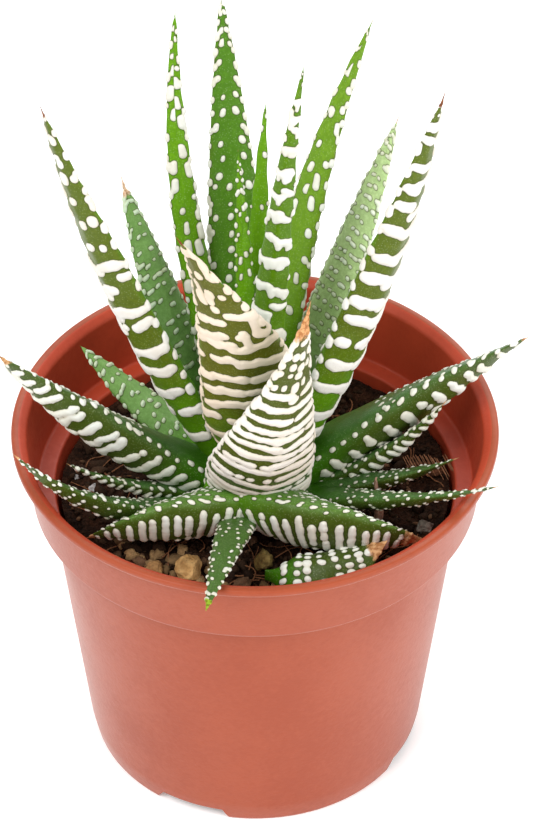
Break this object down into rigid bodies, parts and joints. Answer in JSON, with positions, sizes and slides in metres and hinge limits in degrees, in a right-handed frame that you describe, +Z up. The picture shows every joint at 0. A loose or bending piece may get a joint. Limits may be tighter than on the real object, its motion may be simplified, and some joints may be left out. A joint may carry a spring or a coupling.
{
  "type": "potted haworthia",
  "caption": "Small succulent rosette of pointed green leaves with raised white bands, rooted in dark soil in a thin terracotta-coloured plastic nursery pot.",
  "frame": {"origin": "centre of the pot's flat underside", "axes": "+Z up along the pot's axis, -Y the side that is seen first, +X to its right"},
  "size_m": [0.0918, 0.0928, 0.1514],
  "materials": {
    "pot": "moulded terracotta-coloured plastic, satin to matt, a little redder and darker inside",
    "soil": "dark moist peat with fine root fibres",
    "leaf": "firm succulent skin, satin green with raised white bands and dots",
    "stem": "short fleshy stem",
    "withered": "dry brown leaf",
    "stone": "dull ochre, tan and pink grit",
    "bark": "rough brown bark and coir",
    "perlite": "chalky white expanded grain"
  },
  "bodies": {
    "root": {"pot": "pot", "soil": "soil", "stem": "stem", "leaf_01": "leaf", "leaf_02": "leaf", "leaf_03": "leaf", "leaf_04": "leaf", "leaf_05": "leaf", "leaf_06": "leaf", "leaf_07": "leaf", "leaf_08": "leaf", "leaf_09": "leaf", "leaf_10": "leaf", "leaf_11": "leaf", "leaf_12": "leaf", "leaf_13": "leaf", "leaf_14": "leaf", "leaf_15": "leaf", "leaf_16": "leaf", "leaf_17": "leaf", "leaf_18": "leaf", "leaf_19": "leaf", "leaf_20": "leaf", "leaf_21": "leaf", "leaf_22": "leaf", "leaf_23": "leaf", "leaf_24": "leaf", "leaf_25": "leaf", "leaf_26": "leaf", "withered_leaf": "withered", "stone_ochre": "stone", "stone_small_ochre": "stone", "stone_pink": "stone", "stone_olive": "stone", "stone_tan": "stone", "stone_grey": "stone", "stone_back": "stone", "stone_left": "stone", "bark_front": "bark", "bark_chip": "bark", "perlite_outer": "perlite", "perlite_inner": "perlite"}
  },
  "joints": []
}
